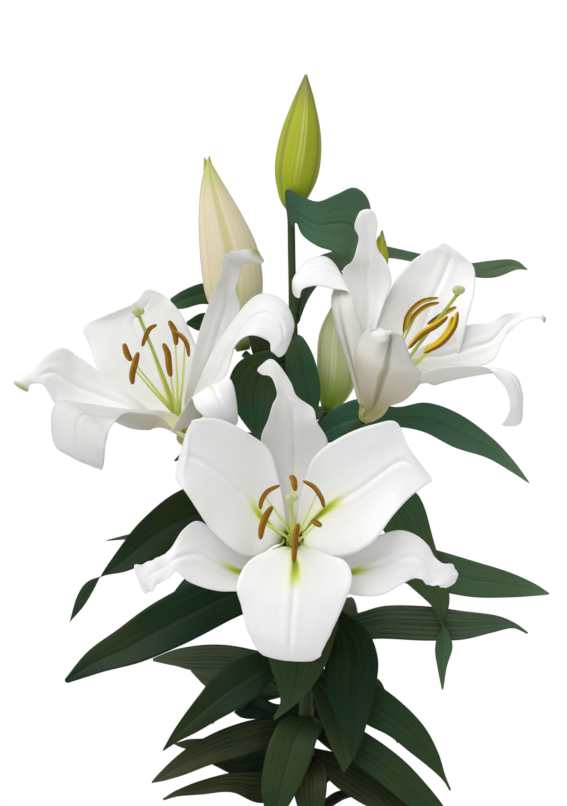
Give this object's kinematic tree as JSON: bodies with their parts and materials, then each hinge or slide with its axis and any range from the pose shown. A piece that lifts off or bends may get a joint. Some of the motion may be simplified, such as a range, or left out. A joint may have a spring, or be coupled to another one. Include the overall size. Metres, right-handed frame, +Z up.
{
  "type": "potted oriental lily",
  "caption": "White oriental lily growing in a plain clay pot: open blooms and closed buds on one upright stem with dark lance-shaped leaves",
  "frame": {"origin": "the middle of the pot's flat underside", "axes": "+Z up along the pot's axis and the stem's foot, +X to the viewer's right, +Y away from the viewer of the picture"},
  "size_m": [0.3696, 0.2737, 0.7121],
  "materials": {
    "clay": "matt",
    "soil": "rough",
    "leaf": "satin",
    "tepal": "soft matt",
    "filament": "satin",
    "anther": "powdery",
    "bud_green": "satin",
    "bud_cream": "satin",
    "bud_pale": "satin"
  },
  "bodies": {
    "root": {"pot": "clay", "soil": "soil", "leafy_stem": "leaf", "bloom_front": "tepal", "stamens_front": "filament", "bloom_left": "tepal", "stamens_left": "filament", "bloom_right": "tepal", "stamens_right": "filament", "bud_top": "bud_green", "bud_cream": "bud_cream", "bud_right": "bud_pale", "bud_small": "bud_green"}
  },
  "joints": []
}
